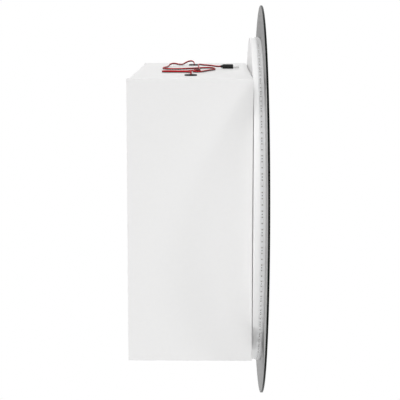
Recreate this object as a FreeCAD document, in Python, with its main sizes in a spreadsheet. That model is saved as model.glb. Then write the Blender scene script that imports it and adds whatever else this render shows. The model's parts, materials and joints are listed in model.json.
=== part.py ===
"""Round lighted mirror cabinet: a square wall box with a hinged round mirror door and an LED rim."""
import FreeCAD, Part
import math
import os
import re
import Sketcher

# Driving sizes in millimetres, kept as the cells of the sheet
SIZES = {
    # carcass
    "cabinet_width": 400,
    "cabinet_height": 400,
    "cabinet_depth": 175,
    "board": 15,
    "back_sheet": 3,
    "back_margin": 5,
    "back_play": 0.5,
    "back_rebate": 7,
    "fixing_drop": 45,
    "rail_height": 60,
    "fixing_spacing": 300,
    "fixing_hole": 7,
    # flat-pack joinery
    "fit_play": 0.1,
    "cam_diameter": 15,
    "cam_depth": 12,
    "cam_setback": 34,
    "cam_bolt_diameter": 6,
    "cam_bolt_depth": 11,
    "cam_rear_inset": 40,
    "cam_front_inset": 40,
    "dowel_diameter": 8,
    "dowel_length": 24,
    "rail_dowel_spacing": 30,
    "tack_diameter": 2,
    "tack_head": 4.4,
    "tack_head_height": 1,
    "tack_length": 18,
    "tack_spacing": 95,
    # shelf
    "shelf_depth": 140,
    "shelf_play": 1,
    "shelf_rear_gap": 16,
    "shelf_drop": 8,
    "shelf_pin_diameter": 5,
    "shelf_pin_reach": 9,
    "shelf_pin_depth": 8,
    "shelf_pin_inset": 32,
    "shelf_hole_pitch": 32,
    # door
    "door_gap": 0.8,
    "door_share": 1.25,
    "door_thickness": 15,
    "edge_band": 0.8,
    "tape_thickness": 1,
    "tape_width": 25,
    "tape_length": 320,
    "tape_spacing": 110,
    "tape_inset": 0.5,
    "mirror_overhang": 50,
    "mirror_thickness": 3,
    "mirror_arris": 0.6,
    # hinges
    "hinge_length": 60,
    "hinge_spacing": 190,
    "leaf_thickness": 0.6,
    "leaf_width": 14,
    "leaf_spine": 3,
    "leaf_play": 0.4,
    "knuckle_radius": 2.6,
    "knuckle_clearance": 0.4,
    "hinge_pin_diameter": 2.6,
    "hinge_pin_play": 0.06,
    "hinge_pin_head": 2.2,
    "hinge_pin_head_height": 1.2,
    "screw_diameter": 3,
    "screw_head": 5.6,
    "screw_head_height": 1.2,
    "screw_length": 12,
    "leaf_screw_pitch": 10,
    # magnetic catch and bumpers
    "catch_width": 13,
    "catch_depth": 28,
    "catch_height": 44,
    "catch_reach": 0.1,
    "catch_drop": 60,
    "magnet_width": 7,
    "magnet_depth": 10,
    "magnet_height": 22,
    "catch_screw_spacing": 33,
    "strike_thickness": 0.5,
    "strike_width": 14,
    "strike_height": 36,
    "bumper_diameter": 8,
    "bumper_thickness": 0.6,
    "bumper_spacing": 240,
    # light
    "strip_width": 6,
    "strip_thickness": 0.3,
    "strip_adhesive": 0.1,
    "strip_margin": 1.5,
    "strip_gap_degrees": 0.5,
    "feed_degrees": 45,
    "led_pitch": 8.3,
    "led_length": 3.5,
    "led_width": 2.8,
    "led_height": 0.8,
    "resistor_length": 2,
    "resistor_width": 1.25,
    "resistor_height": 0.5,
    "leds_per_resistor": 3,
    # wiring
    "grommet_share": 0.325,
    "grommet_hole": 14,
    "grommet_flange": 18,
    "grommet_rim": 1.8,
    "lead_width": 2.6,
    "lead_play": 0.3,
    "lead_drop": 6,
    "lead_bend": 4.2,
    "lead_rim_reach": 6.24,
    "lead_corner_share": 0.45,
    "connector_length": 18,
    "connector_width": 12,
    "connector_height": 10,
    "connector_inset": 25,
    "connector_share": 0.28,
    "clip_length": 8,
    "clip_width": 8,
    "clip_height": 9,
    "sleeve_length": 11,
    "sleeve_width": 7.4,
    "sleeve_height": 4.2,
    "plug_diameter": 7,
    "plug_length": 20,
    "barrel_diameter": 5.5,
    "barrel_bore": 2.1,
    "barrel_length": 9.5,
}
# Sizes that follow from the ones above
FOLLOWING_SIZES = {
    "door_diameter": "=door_share * (cabinet_width + cabinet_height) / 2",
    "mirror_diameter": "=door_diameter + 2 * mirror_overhang",
    "grommet_offset": "=grommet_share * cabinet_width",
    "grommet_inset": "=cabinet_depth / 2",
    "connector_setback": "=connector_share * cabinet_depth",
}
ALL_SIZES = {**SIZES, **FOLLOWING_SIZES}

doc = FreeCAD.newDocument("mirror_cabinet")
sheet = doc.addObject("Spreadsheet::Sheet", "sizes")
for row, (alias, number) in enumerate(ALL_SIZES.items(), 1):
    sheet.set(f"A{row}", alias)
    sheet.set(f"B{row}", str(number))
    sheet.setAlias(f"B{row}", alias)
doc.recompute()

# Planes and lines that several pieces share, as formulas of the sheet
SIDE_OUT = "cabinet_width / 2"
SIDE_IN = "(cabinet_width / 2 - board)"
TOP = "fixing_drop"
BOTTOM = "(fixing_drop - cabinet_height)"
MIDDLE = "(fixing_drop - cabinet_height / 2)"
CEILING = "(fixing_drop - board)"
FLOOR = "(fixing_drop - cabinet_height + board)"
FRONT = "(-cabinet_depth)"
DOOR_BACK = "(-cabinet_depth - door_gap)"
DOOR_FRONT = "(-cabinet_depth - door_gap - door_thickness)"
MIRROR_BACK = "(-cabinet_depth - door_gap - door_thickness - tape_thickness)"
PIN_X = "(cabinet_width / 2 + knuckle_radius + knuckle_clearance)"
PIN_Y = "(-cabinet_depth - leaf_thickness + knuckle_radius)"
SHELF_BOTTOM = f"({MIDDLE} - shelf_drop)"
CATCH_LINE = f"({MIDDLE} - catch_drop)"

WORD = re.compile(r"[a-z][a-z_0-9]*")
DIRECTIONS = {
    "+x": FreeCAD.Vector(1, 0, 0),
    "-x": FreeCAD.Vector(-1, 0, 0),
    "+y": FreeCAD.Vector(0, 1, 0),
    "-y": FreeCAD.Vector(0, -1, 0),
    "+z": FreeCAD.Vector(0, 0, 1),
    "-z": FreeCAD.Vector(0, 0, -1),
}
nodes = []


def size(alias):
    """A driving size as a number."""
    return float(sheet.get(alias))


def linked(formula):
    """The formula with every size name pointing at its cell of the sheet."""
    return WORD.sub(lambda word: "sizes." + word[0] if word[0] in ALL_SIZES else word[0], formula)


def bind(item, formulas):
    """Bind properties of an object to formulas of the sheet."""
    for name, formula in formulas.items():
        item.setExpression(name, linked(formula))


def place(item, point):
    """Bind an object's position to three formulas."""
    bind(item, {f"Placement.Base.{axis}": formula for axis, formula in zip("xyz", point)})


def node(item):
    """Register an object as a piece of the cabinet."""
    nodes.append(item)
    return item


def box(label, low, high):
    """A block between two corners, each given as three formulas."""
    item = doc.addObject("Part::Box", label)
    spans = zip(("Length", "Width", "Height"), low, high)
    bind(item, {name: f"({top}) - ({bottom})" for name, bottom, top in spans})
    place(item, low)
    return item


def rod(label, radius, start, axis, length):
    """A round bar from a start point along an axis."""
    item = doc.addObject("Part::Cylinder", label)
    item.Placement.Rotation = FreeCAD.Rotation(DIRECTIONS["+z"], DIRECTIONS[axis])
    bind(item, {"Radius": radius, "Height": length})
    place(item, start)
    return item


def cone(label, start_radius, end_radius, start, axis, length):
    """A cone from a start point along an axis."""
    item = doc.addObject("Part::Cone", label)
    item.Placement.Rotation = FreeCAD.Rotation(DIRECTIONS["+z"], DIRECTIONS[axis])
    bind(item, {"Radius1": start_radius, "Radius2": end_radius, "Height": length})
    place(item, start)
    return item


def fuse(label, items):
    """One solid made of several."""
    item = doc.addObject("Part::MultiFuse", label)
    item.Shapes = items
    return item


def group(label, items):
    """Separate solids kept together in one piece list entry."""
    item = doc.addObject("Part::Compound", label)
    item.Links = items
    return item


def cut(label, base, tools):
    """A base solid with tools taken out of it."""
    item = doc.addObject("Part::Cut", label)
    item.Base = base
    item.Tool = tools[0] if len(tools) == 1 else group(label + "_cutters", tools)
    return item


def screw(label, at, axis, play="0"):
    """A countersunk wood screw, or its hole where play is given; at is the middle of the head's face."""
    head_radius = f"screw_head / 2 + {play}"
    shank_radius = f"screw_diameter / 2 + {play}"
    head = cone(label + "_head", head_radius, shank_radius, at, axis, "screw_head_height")
    shank = rod(label + "_shank", shank_radius, at, axis, f"screw_length + {play}")
    return fuse(label, [head, shank])


def screw_with_hole(label, at, axis):
    """A screw and the cutter of its hole."""
    return screw(label, at, axis), screw(label + "_hole", at, axis, "fit_play")


def disc_body(label, diameter, thickness, arris=None):
    """A flat round plate facing the front: a circle sketch, a pad and a small chamfer round both rims."""
    body = doc.addObject("PartDesign::Body", label)
    plane = next(item for item in body.Origin.OriginFeatures if item.Role == "XZ_Plane")
    sketch = body.newObject("Sketcher::SketchObject", label + "_outline")
    sketch.AttachmentSupport = (plane, "")
    sketch.MapMode = "FlatFace"
    middle = FreeCAD.Vector(0, 0, 0)
    sketch.addGeometry(Part.Circle(middle, FreeCAD.Vector(0, 0, 1), size(diameter) / 2), False)
    sketch.addConstraint(Sketcher.Constraint("Coincident", 0, 3, -1, 1))
    radius = sketch.addConstraint(Sketcher.Constraint("Radius", 0, size(diameter) / 2))
    bind(sketch, {f"Constraints[{radius}]": f"{diameter} / 2"})
    pad = body.newObject("PartDesign::Pad", label + "_pad")
    pad.Profile = sketch
    bind(pad, {"Length": thickness})
    doc.recompute()
    # the plate grows towards the front
    pad.Reversed = pad.Shape.BoundBox.YMax > 0.5 * size(thickness)
    doc.recompute()
    if arris:
        rims = [f"Edge{i}" for i, edge in enumerate(pad.Shape.Edges, 1) if edge.isClosed()]
        chamfer = body.newObject("PartDesign::Chamfer", label + "_arris")
        chamfer.Base = (pad, rims)
        bind(chamfer, {"Size": arris})
    return body


# Carcass boards before drilling
left_blank = box("left_blank", (f"-{SIDE_OUT}", FRONT, BOTTOM), (f"-{SIDE_IN}", "0", TOP))
right_blank = box("right_blank", (SIDE_IN, FRONT, BOTTOM), (SIDE_OUT, "0", TOP))
top_blank = box("top_blank", (f"-{SIDE_IN}", FRONT, CEILING), (SIDE_IN, "-back_sheet", TOP))
bottom_blank = box("bottom_blank", (f"-{SIDE_IN}", FRONT, BOTTOM), (SIDE_IN, "-back_sheet", FLOOR))
back_blank = box(
    "back_blank",
    (f"-{SIDE_IN} - back_rebate + back_play", "-back_sheet", f"{BOTTOM} + back_margin"),
    (f"{SIDE_IN} + back_rebate - back_play", "0", f"{TOP} - back_margin"),
)
rail_blank = box(
    "rail_blank",
    (f"-{SIDE_IN}", "-back_sheet - board", f"{CEILING} - rail_height"),
    (SIDE_IN, "-back_sheet", CEILING),
)

# Cam locks, cam bolts and dowels of the four corner joints, with the holes that take them
cutters = {"left": [], "right": [], "top": [], "bottom": [], "rail": [], "back": [], "door": []}
cam_bolts = []
cam_locks = []
dowels = []
JOINT_LINES = {"top": "fixing_drop - board / 2", "bottom": "fixing_drop - cabinet_height + board / 2"}
CAM_FACES = {"top": (CEILING, "+z"), "bottom": (FLOOR, "-z")}
CAM_PLACES = {"rear": "-cam_rear_inset", "front": "-cabinet_depth + cam_front_inset"}
SIDES = {"left": ("-", "+x"), "right": ("", "-x")}
for level, joint_z in JOINT_LINES.items():
    face, into = CAM_FACES[level]
    for side, (sign, inward) in SIDES.items():
        for spot, joint_y in CAM_PLACES.items():
            name = f"{level}_{side}_{spot}"
            start = (f"{sign}({SIDE_IN} + cam_bolt_depth)", joint_y, joint_z)
            reach = "cam_bolt_depth + cam_setback"
            bolt = rod(name + "_bolt", "cam_bolt_diameter / 2", start, inward, reach)
            hole = rod(
                name + "_bolt_hole", "cam_bolt_diameter / 2 + fit_play", start, inward, f"{reach} + fit_play"
            )
            middle = (f"{sign}({SIDE_IN} - cam_setback)", joint_y, face)
            lock = rod(name + "_cam", "cam_diameter / 2", middle, into, "cam_depth")
            pocket = rod(
                name + "_cam_pocket", "cam_diameter / 2 + fit_play", middle, into, "cam_depth + fit_play"
            )
            cam_bolts.append(bolt)
            cam_locks.append(cut(name + "_lock", lock, [hole]))
            cutters[side].append(hole)
            cutters[level] += [hole, pocket]
        name = f"{level}_{side}_dowel"
        start = (f"{sign}({SIDE_IN} + dowel_length / 2)", "-cabinet_depth / 2", joint_z)
        dowels.append(rod(name, "dowel_diameter / 2", start, inward, "dowel_length"))
        hole = rod(name + "_hole", "dowel_diameter / 2 + fit_play", start, inward, "dowel_length + fit_play")
        cutters[side].append(hole)
        cutters[level].append(hole)

# Dowels at both ends of the hanging rail
for side, (sign, inward) in SIDES.items():
    for level, step in (("upper", "+"), ("lower", "-")):
        name = f"rail_{side}_{level}_dowel"
        start = (
            f"{sign}({SIDE_IN} + dowel_length / 2)",
            "-back_sheet - board / 2",
            f"{CEILING} - rail_height / 2 {step} rail_dowel_spacing / 2",
        )
        dowels.append(rod(name, "dowel_diameter / 2", start, inward, "dowel_length"))
        hole = rod(name + "_hole", "dowel_diameter / 2 + fit_play", start, inward, "dowel_length + fit_play")
        cutters[side].append(hole)
        cutters["rail"].append(hole)

# Rebates in the side panels for the ends of the back panel
REBATE_LOW = f"{BOTTOM} + back_margin - back_play"
REBATE_HIGH = f"{TOP} - back_margin + back_play"
left_rebate = box(
    "left_rebate",
    (f"-{SIDE_IN} - back_rebate", "-back_sheet", REBATE_LOW),
    (f"-{SIDE_IN}", "0", REBATE_HIGH),
)
right_rebate = box(
    "right_rebate",
    (SIDE_IN, "-back_sheet", REBATE_LOW),
    (f"{SIDE_IN} + back_rebate", "0", REBATE_HIGH),
)
cutters["left"].append(left_rebate)
cutters["right"].append(right_rebate)

# Wall fixing holes through the rail and the back panel
for side, (sign, _) in SIDES.items():
    hole = rod(
        f"{side}_fixing_hole",
        "fixing_hole / 2",
        (f"{sign}(fixing_spacing / 2)", "0", f"{CEILING} - rail_height / 2"),
        "-y",
        "back_sheet + board",
    )
    cutters["rail"].append(hole)
    cutters["back"].append(hole)

# Tacks that hold the back panel to the four boards round it
tacks = []
tack_places = {}
TACK_LINES = {
    "top": "fixing_drop - (board + back_margin) / 2",
    "bottom": "fixing_drop - cabinet_height + (board + back_margin) / 2",
}
for level, tack_z in TACK_LINES.items():
    for step in (-1.5, -0.5, 0.5, 1.5):
        tack_places[f"{level}_tack_{int(step * 2 + 3)}"] = (level, f"{step} * tack_spacing", tack_z)
for side, (sign, _) in SIDES.items():
    for step in (-1, 0, 1):
        tack_x = f"{sign}({SIDE_IN} + back_rebate / 2)"
        tack_z = f"fixing_drop - cabinet_height / 2 + ({step}) * tack_spacing"
        tack_places[f"{side}_tack_{step + 1}"] = (side, tack_x, tack_z)
for name, (board_name, tack_x, tack_z) in tack_places.items():
    at = (tack_x, "0", tack_z)
    shank = rod(name + "_shank", "tack_diameter / 2", at, "-y", "tack_length")
    head = rod(name + "_head", "tack_head / 2", at, "-y", "tack_head_height")
    tacks.append(fuse(name, [shank, head]))
    shank_hole = rod(name + "_bore", "tack_diameter / 2 + fit_play", at, "-y", "tack_length + fit_play")
    head_hole = rod(name + "_sink", "tack_head / 2 + fit_play", at, "-y", "tack_head_height")
    cutters["back"] += [shank_hole, head_hole]
    cutters[board_name].append(shank_hole)

# Shelf on four pins, with spare pin holes above and below
shelf_pins = []
PIN_LINES = {"rear": "-back_sheet - shelf_rear_gap - shelf_pin_inset"}
PIN_LINES["front"] = "-back_sheet - shelf_rear_gap - shelf_depth + shelf_pin_inset"
for side, (sign, inward) in SIDES.items():
    for spot, pin_y in PIN_LINES.items():
        for step in (-1, 0, 1):
            name = f"shelf_pin_{side}_{spot}_{step + 1}"
            pin_z = f"{SHELF_BOTTOM} - shelf_pin_diameter / 2 - fit_play + {step} * shelf_hole_pitch"
            start = (f"{sign}({SIDE_IN} + shelf_pin_depth)", pin_y, pin_z)
            hole = rod(name + "_hole", "shelf_pin_diameter / 2 + fit_play", start, inward, "shelf_pin_depth")
            cutters[side].append(hole)
            if step == 0:
                reach = "shelf_pin_depth + shelf_pin_reach"
                shelf_pins.append(rod(name, "shelf_pin_diameter / 2", start, inward, reach))
node(
    box(
        "shelf",
        (f"-{SIDE_IN} + shelf_play", "-back_sheet - shelf_rear_gap - shelf_depth", SHELF_BOTTOM),
        (f"{SIDE_IN} - shelf_play", "-back_sheet - shelf_rear_gap", f"{SHELF_BOTTOM} + board"),
    )
)

# Flush hinges: the door leaf nests in the window of the cabinet leaf, so both share the door gap
LEAF_END = f"({SIDE_OUT} - leaf_width)"
KNUCKLE = "(hinge_length / 3)"
LEAF_FACE = f"({FRONT} - leaf_thickness)"
DOOR_LEAF_FACE = f"({DOOR_BACK} + leaf_thickness)"
SCREW_LINE = f"({SIDE_OUT} - leaf_width / 2 + leaf_spine / 2)"
cabinet_leaf_screws = []
door_leaf_screws = []


def knuckle(label, low_z, length, play="0"):
    """A barrel round the hinge line."""
    return rod(label, f"knuckle_radius + {play}", (PIN_X, PIN_Y, low_z), "+z", length)


def pin_bore(label, low_z):
    """The cutter of a hinge's pin hole."""
    radius = "hinge_pin_diameter / 2 + hinge_pin_play"
    return rod(label, radius, (PIN_X, PIN_Y, low_z), "+z", "hinge_length")


for place_name, step in (("upper", "+"), ("lower", "-")):
    centre = f"({MIDDLE} {step} hinge_spacing / 2)"
    low = f"({centre} - hinge_length / 2)"
    high = f"({centre} + hinge_length / 2)"
    inner_low = f"({centre} - {KNUCKLE} / 2)"
    inner_high = f"({centre} + {KNUCKLE} / 2)"

    name = place_name + "_cabinet_leaf"
    plate = box(name + "_plate", (LEAF_END, LEAF_FACE, low), (PIN_X, FRONT, high))
    window = box(
        name + "_window",
        (f"{LEAF_END} + leaf_spine", f"{LEAF_FACE} - door_gap", f"{inner_low} - leaf_play"),
        (f"{PIN_X} + knuckle_radius", f"{FRONT} + door_gap", f"{inner_high} + leaf_play"),
    )
    barrels = [
        knuckle(name + "_low_knuckle", low, f"{KNUCKLE} - leaf_play"),
        knuckle(name + "_high_knuckle", f"{inner_high} + leaf_play", f"{KNUCKLE} - leaf_play"),
    ]
    framed = cut(name + "_frame", plate, [window])
    holes = [pin_bore(name + "_bore", low)]
    for end, turn in (("high", "+"), ("low", "-")):
        at = (SCREW_LINE, LEAF_FACE, f"{centre} {turn} {KNUCKLE}")
        fastener, hole = screw_with_hole(f"{name}_{end}_screw", at, "+y")
        cabinet_leaf_screws.append(fastener)
        holes.append(hole)
        cutters["right"].append(hole)
    node(cut(name, fuse(name + "_blank", [framed] + barrels), holes))

    name = place_name + "_door_leaf"
    plate = box(
        name + "_plate",
        (f"{LEAF_END} + leaf_spine + leaf_play", DOOR_BACK, inner_low),
        (PIN_X, DOOR_LEAF_FACE, inner_high),
    )
    barrel = knuckle(name + "_knuckle", inner_low, KNUCKLE)
    holes = [pin_bore(name + "_bore", low)]
    for end, turn in (("high", "+"), ("low", "-")):
        at = (SCREW_LINE, DOOR_LEAF_FACE, f"{centre} {turn} leaf_screw_pitch / 2")
        fastener, hole = screw_with_hole(f"{name}_{end}_screw", at, "-y")
        door_leaf_screws.append(fastener)
        holes.append(hole)
        cutters["door"].append(hole)
    node(cut(name, fuse(name + "_blank", [plate, barrel]), holes))

    name = place_name + "_hinge_pin"
    shaft = rod(name + "_shaft", "hinge_pin_diameter / 2", (PIN_X, PIN_Y, low), "+z", "hinge_length")
    head = rod(name + "_head", "hinge_pin_head", (PIN_X, PIN_Y, high), "+z", "hinge_pin_head_height")
    node(fuse(name, [shaft, head]))
node(group("cabinet_leaf_screws", cabinet_leaf_screws))
node(group("door_leaf_screws", door_leaf_screws))

# Magnetic catch on the left side panel and its strike plate on the door
CATCH_FACE = f"({FRONT} - catch_reach)"
MAGNET_X = f"(-{SIDE_IN} + catch_width / 2)"
housing = box(
    "catch_housing_blank",
    (f"-{SIDE_IN}", FRONT, f"{CATCH_LINE} - catch_height / 2"),
    (f"-{SIDE_IN} + catch_width", f"{FRONT} + catch_depth", f"{CATCH_LINE} + catch_height / 2"),
)
magnet_low = (f"{MAGNET_X} - magnet_width / 2", CATCH_FACE, f"{CATCH_LINE} - magnet_height / 2")
magnet_high = (
    f"{MAGNET_X} + magnet_width / 2",
    f"{FRONT} + magnet_depth",
    f"{CATCH_LINE} + magnet_height / 2",
)
node(box("catch_magnet", magnet_low, magnet_high))
catch_holes = [box("catch_magnet_pocket", magnet_low, magnet_high)]
catch_screws = []
for end, turn in (("high", "+"), ("low", "-")):
    at = (
        f"-{SIDE_IN} + screw_head_height + leaf_spine",
        f"{FRONT} + catch_depth - screw_head",
        f"{CATCH_LINE} {turn} catch_screw_spacing / 2",
    )
    fastener, hole = screw_with_hole(f"catch_{end}_screw", at, "-x")
    catch_screws.append(fastener)
    cutters["left"].append(hole)
    recess = rod(f"catch_{end}_recess", "screw_head / 2 + fit_play", at, "+x", "catch_width")
    catch_holes += [hole, recess]
node(cut("catch_housing", housing, catch_holes))
node(group("catch_screws", catch_screws))

STRIKE_FACE = f"({DOOR_BACK} + strike_thickness)"
strike_blank = box(
    "strike_plate_blank",
    (f"{MAGNET_X} - strike_width / 2", DOOR_BACK, f"{CATCH_LINE} - strike_height / 2"),
    (f"{MAGNET_X} + strike_width / 2", STRIKE_FACE, f"{CATCH_LINE} + strike_height / 2"),
)
STRIKE_SCREWS = f"({CATCH_LINE} + (strike_height + magnet_height) / 4)"
strike_screw, strike_hole = screw_with_hole("strike_screw", (MAGNET_X, STRIKE_FACE, STRIKE_SCREWS), "-y")
cutters["door"].append(strike_hole)
node(cut("strike_plate", strike_blank, [strike_hole]))
node(strike_screw)

# Bumper dots on the front edge of the left side panel
bumpers = []
for end, turn in (("upper", "+"), ("lower", "-")):
    at = (f"-{SIDE_OUT} + board / 2", FRONT, f"{MIDDLE} {turn} bumper_spacing / 2")
    bumpers.append(rod(f"{end}_bumper", "bumper_diameter / 2", at, "-y", "bumper_thickness"))
node(group("door_bumpers", bumpers))

# Cable grommets in the top board
for side, (sign, _) in SIDES.items():
    spot = (f"{sign}grommet_offset", "-grommet_inset")
    under = (*spot, CEILING)
    hole = rod(f"{side}_cable_hole", "grommet_hole / 2 + fit_play", under, "+z", "board")
    cutters["top"].append(hole)
    barrel = rod(f"{side}_grommet_barrel", "grommet_hole / 2", under, "+z", "board")
    flange = rod(f"{side}_grommet_flange", "grommet_flange / 2", (*spot, TOP), "+z", "grommet_rim")
    bore = rod(f"{side}_grommet_bore", "lead_width / 2 + lead_play", under, "+z", "board + grommet_rim")
    node(cut(f"{side}_grommet", fuse(f"{side}_grommet_blank", [barrel, flange]), [bore]))

# Drilled boards
node(cut("left_side_panel", left_blank, cutters["left"]))
node(cut("right_side_panel", right_blank, cutters["right"]))
node(cut("top_panel", top_blank, cutters["top"]))
node(cut("bottom_panel", bottom_blank, cutters["bottom"]))
node(cut("hanging_rail", rail_blank, cutters["rail"]))
node(cut("back_panel", back_blank, cutters["back"]))
node(group("cam_bolts", cam_bolts))
node(group("cam_locks", cam_locks))
node(group("dowels", dowels))
node(group("back_panel_tacks", tacks))
node(group("shelf_pins", shelf_pins))

# Round door board with its edge band, the mirror and the tape between them
DOOR_MIDDLE = ("0", DOOR_BACK, MIDDLE)
door_blank = rod("door_blank", "door_diameter / 2 - edge_band", DOOR_MIDDLE, "-y", "door_thickness")
node(cut("door_board", door_blank, cutters["door"]))
band_blank = rod("door_edge_band_blank", "door_diameter / 2", DOOR_MIDDLE, "-y", "door_thickness")
band_core = rod("door_edge_band_core", "door_diameter / 2 - edge_band", DOOR_MIDDLE, "-y", "door_thickness")
node(cut("door_edge_band", band_blank, [band_core]))
TAPE_MIDDLE = ("0", DOOR_FRONT, MIDDLE)
TAPE_RING = "door_diameter / 2 - tape_inset"
tape_blank = rod("mirror_tape_ring_blank", TAPE_RING, TAPE_MIDDLE, "-y", "tape_thickness")
tape_core = rod("mirror_tape_ring_core", f"{TAPE_RING} - tape_width", TAPE_MIDDLE, "-y", "tape_thickness")
tapes = [cut("mirror_tape_ring", tape_blank, [tape_core])]
for step in (-1, 0, 1):
    line = f"{MIDDLE} + {step} * tape_spacing"
    low = ("-tape_length / 2", MIRROR_BACK, f"{line} - tape_width / 2")
    high = ("tape_length / 2", DOOR_FRONT, f"{line} + tape_width / 2")
    tapes.append(box(f"mirror_tape_{step + 2}", low, high))
node(group("mirror_tapes", tapes))
mirror = disc_body("mirror_glass", "mirror_diameter", "mirror_thickness", "mirror_arris")
place(mirror, ("0", MIRROR_BACK, MIDDLE))
node(mirror)

# Two half rings of LED strip on the rim, both fed at the top right corner of the cabinet
STRIP_BACK = f"({DOOR_FRONT} + strip_margin + strip_width)"
for name, turn in (("first", 0), ("second", 180)):
    start = math.radians(size("feed_degrees") + turn + size("strip_gap_degrees"))
    along = FreeCAD.Vector(math.cos(start), 0, math.sin(start))
    frame = FreeCAD.Rotation(along, FreeCAD.Vector(), DIRECTIONS["-y"], "ZXY")
    ring = doc.addObject("Part::Cylinder", f"{name}_led_strip_ring")
    ring.Placement.Rotation = frame
    bind(
        ring,
        {
            "Radius": "door_diameter / 2 + strip_adhesive + strip_thickness",
            "Height": "strip_width",
            "Angle": "180 - 2 * strip_gap_degrees",
        },
    )
    place(ring, ("0", STRIP_BACK, MIDDLE))
    core_radius = "door_diameter / 2 + strip_adhesive"
    core = rod(f"{name}_led_strip_core", core_radius, ("0", STRIP_BACK, MIDDLE), "-y", "strip_width")
    node(cut(f"{name}_led_strip", ring, [core]))


def middle_z():
    """Height of the cabinet's middle, as a number."""
    return size("fixing_drop") - size("cabinet_height") / 2


strip_radius = size("door_diameter") / 2 + size("strip_adhesive") + size("strip_thickness")


def rim_chips(length, width, height, places):
    """Small blocks standing on the LED strip at the given angles and distances from its rear edge."""
    rear = -size("cabinet_depth") - size("door_gap") - size("door_thickness")
    rear += size("strip_margin") + size("strip_width")
    chips = []
    for angle, offset in places:
        chip = Part.makeBox(length, width, height, FreeCAD.Vector(-length / 2, -width / 2, 0))
        out = FreeCAD.Vector(math.cos(angle), 0, math.sin(angle))
        turn = FreeCAD.Rotation(FreeCAD.Vector(), DIRECTIONS["+y"], out, "ZYX")
        seat = out * strip_radius + FreeCAD.Vector(0, rear - offset, middle_z())
        chip.Placement = FreeCAD.Placement(seat, turn)
        chips.append(chip)
    return Part.makeCompound(chips)


led_count = int(math.pi * strip_radius / size("led_pitch"))
feed_angle = math.radians(size("feed_degrees"))
led_places = []
resistor_places = []
for turn in (0, math.pi):
    for index in range(led_count):
        angle = feed_angle + turn + math.pi * (index + 0.5) / led_count
        led_places.append((angle, size("strip_width") / 2))
        if index % size("leds_per_resistor") == 1:
            between = angle + math.pi * 0.5 / led_count
            resistor_places.append((between, size("strip_width") / 2))
chips = doc.addObject("Part::Feature", "led_chips")
chips.Shape = rim_chips(size("led_width"), size("led_length"), size("led_height"), led_places)
node(chips)
resistors = doc.addObject("Part::Feature", "led_resistors")
resistors.Shape = rim_chips(
    size("resistor_length"), size("resistor_width"), size("resistor_height"), resistor_places
)
node(resistors)


# Two-core leads: straight runs joined by tangent arcs
def lead_path(points):
    """The wire through the points, with each corner rounded as far as its two runs allow."""
    edges = []
    radii = []
    start = points[0]
    for before, corner, after in zip(points, points[1:], points[2:]):
        arrive = (corner - before).normalize()
        leave = (after - corner).normalize()
        turn = arrive.getAngle(leave)
        trim = size("lead_corner_share") * min((corner - before).Length, (after - corner).Length)
        radius = trim / math.tan(turn / 2)
        enter = corner - arrive * trim
        depart = corner + leave * trim
        inward = (leave - arrive).normalize()
        sag = radius / math.cos(turn / 2) - radius
        edges.append(Part.LineSegment(start, enter).toShape())
        edges.append(Part.Arc(enter, corner + inward * sag, depart).toShape())
        radii.append(radius)
        start = depart
    edges.append(Part.LineSegment(start, points[-1]).toShape())
    return Part.Wire(edges), radii


def lead(label, points):
    """A lead as a round tube along its route."""
    route = [FreeCAD.Vector(*point) for point in points]
    path, radii = lead_path(route)
    radius = size("lead_width") / 2
    section = Part.Wire(Part.makeCircle(radius, route[0], route[1] - route[0]))
    tube = path.makePipeShell([section], True, False)
    expected = math.pi * radius**2 * path.Length
    print(f"{label}: length {path.Length:.1f}, least radius {min(radii):.1f}, "
          f"volume ratio {tube.Volume / expected:.4f}")
    item = doc.addObject("Part::Feature", label)
    item.Shape = tube
    return node(item)


grommet_x = size("grommet_offset")
grommet_y = -size("grommet_inset")
top_z = size("fixing_drop")
exit_z = top_z + size("grommet_rim")
plug_height = size("plug_diameter") / 2
PLUG_END = (40, -131, plug_height)

# The routes are drawn on a board of this width and depth, and follow the cabinet's own
DRAWN_WIDTH = 400
DRAWN_DEPTH = 175
stretch_x = size("cabinet_width") / DRAWN_WIDTH
stretch_y = size("cabinet_depth") / DRAWN_DEPTH

# Route of the lead from the left grommet to the plug: X, Y and height above the top board
PLUG_ROUTE = [
    (-130, -87.5, 3.8), (-127.6, -87.5, 6.2), (-123, -87.4, 6.4), (-115.5, -87.2, 3.8),
    (-106, -87.0, 1.8), (-92, -88.0, 1.6), (-78, -86.5, 1.6), (-68.5, -79.5, 1.6),
    (-66, -68, 1.6), (-68, -55, 1.6), (-64.5, -45.5, 1.6), (-58.5, -42, 1.6),
    (-52.5, -45, 1.6), (-52, -55, 1.6), (-55, -68, 1.6), (-54.5, -80, 1.6),
    (-49, -90, 2.4), (-38, -97, 2.4), (-22, -99, 3.2), (-3, -97, 5.6),
    (15, -95.5, 7.2), (32, -97.5, 7.0), (45.5, -103.5, 5.4), (50, -113.0, 4.6),
    (46.5, -119.5, 3.9), (41.3, -123, 3.6), (40, -127, 3.5),
]
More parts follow.
